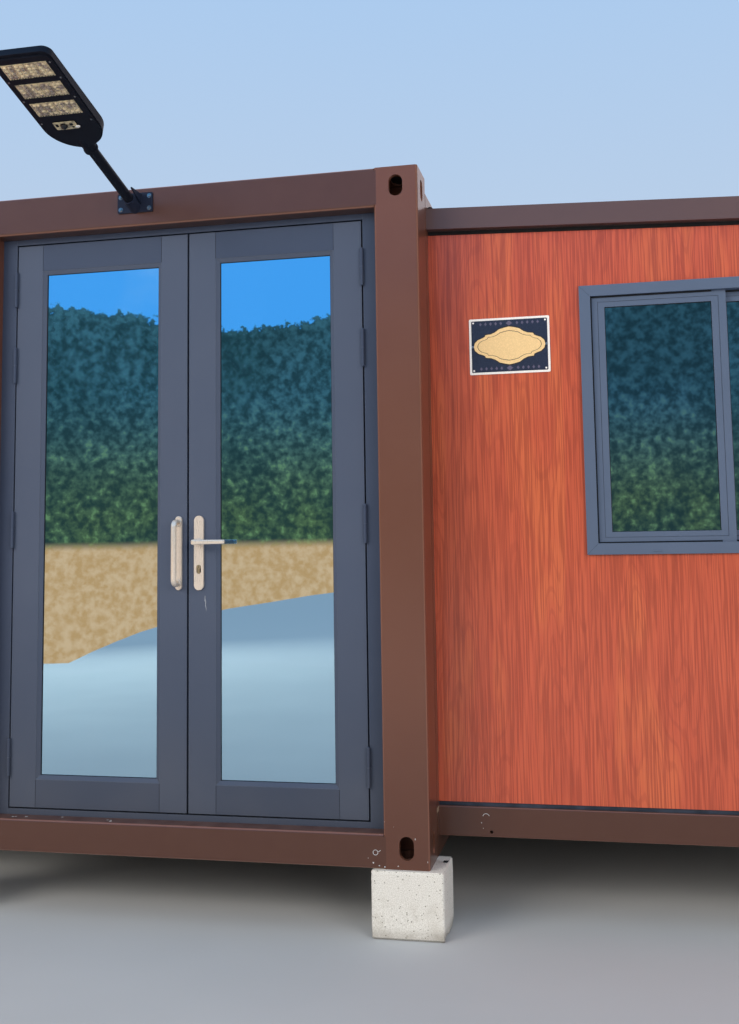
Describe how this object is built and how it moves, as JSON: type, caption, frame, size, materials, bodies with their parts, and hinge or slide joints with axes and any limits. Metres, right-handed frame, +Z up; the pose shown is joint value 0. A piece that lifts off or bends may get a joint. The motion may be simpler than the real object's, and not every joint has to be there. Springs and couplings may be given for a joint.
{
  "type": "shipping container cabin",
  "caption": "Expandable container cabin: steel core with a glazed double door, a fold-out wing on each side, a solar lamp over the door and concrete corner blocks.",
  "frame": {"origin": "middle of the plan box, lamp included, at ground level under the blocks", "axes": "+X to the right of someone facing the doors, +Y into the building, +Z up"},
  "size_m": [6.08, 6.7482, 2.872],
  "materials": {
    "frame_paint": "satin brown paint on steel",
    "panel_white": "coated steel skin",
    "floor_board": "sealed board",
    "wood_film": "red-brown wood-grain film on steel",
    "door_metal": "slate grey powder coat",
    "dark_track": "dark powder coat",
    "window_metal": "blue-grey powder coat",
    "sign_enamel": "printed plate with a pale rim",
    "lamp_black": "fine matt texture",
    "lamp_lens": "cream lens plates",
    "solar_glass": "dark glass over cells",
    "concrete": "cast concrete",
    "zinc_steel": "zinc-plated",
    "handle_metal": "satin, warm silver",
    "brass_metal": "nickel-brass cylinder",
    "door_pane": "blue mirror-coated double glazing",
    "window_pane": "dark reflective glass"
  },
  "bodies": {
    "cabin": {"corner_posts": "frame_paint", "top_fittings": "frame_paint", "bottom_fittings": "frame_paint", "header_beams": "frame_paint", "sill_beams": "frame_paint", "top_side_rails": "frame_paint", "bottom_side_rails": "frame_paint", "side_jambs": "frame_paint", "core_roof": "panel_white", "core_floor": "floor_board", "floor_joists": "frame_paint", "core_back_wall": "wood_film", "door_jambs": "door_metal", "door_head": "door_metal", "door_threshold": "door_metal", "frame_hinges": "door_metal", "wing_roofs": "panel_white", "end_fascias": "frame_paint", "eave_beams": "frame_paint", "right_end_walls": "wood_film", "left_end_walls": "wood_film", "right_side_wall": "wood_film", "left_side_wall": "wood_film", "wing_floors": "floor_board", "floor_end_beams": "frame_paint", "floor_side_beams": "frame_paint", "wall_tracks": "dark_track", "corner_trims": "frame_paint", "window_frames": "window_metal", "window_sashes": "window_metal", "window_glass": "window_pane", "sign_plate": "sign_enamel", "lamp_bracket": "lamp_black", "lamp_arm": "lamp_black", "lamp_housing": "lamp_black", "lamp_panels": "lamp_lens", "lamp_sensor": "lamp_black", "lamp_solar": "solar_glass", "corner_blocks": "concrete", "wing_feet": "zinc_steel"},
    "right_leaf": {"right_leaf_stiles": "door_metal", "right_leaf_rails": "door_metal", "right_leaf_beads": "door_metal", "right_leaf_glass": "door_pane", "right_leaf_hinges": "door_metal", "lever_plates": "handle_metal", "lock_cylinder": "brass_metal"},
    "left_leaf": {"left_leaf_stiles": "door_metal", "left_leaf_rails": "door_metal", "left_leaf_beads": "door_metal", "left_leaf_glass": "door_pane", "left_leaf_hinges": "door_metal", "pull_handle": "handle_metal"},
    "lever": {"door_lever": "handle_metal"}
  },
  "joints": [
    {"name": "right_door", "type": "hinge", "parent": "cabin", "child": "right_leaf", "pos_m": [0.699, -2.43944, 1.353], "axis": [0, 0, 1], "range_deg": [0, 110]},
    {"name": "left_door", "type": "hinge", "parent": "cabin", "child": "left_leaf", "pos_m": [-0.699, -2.43944, 1.353], "axis": [0, 0, -1], "range_deg": [0, 110]},
    {"name": "lever_turn", "type": "hinge", "parent": "right_leaf", "child": "lever", "pos_m": [0.064, -2.43094, 1.353], "axis": [0, 1, 0], "range_deg": [0, 45], "stiffness_Nm_per_rad": 0.6, "springref_deg": -34.38}
  ]
}
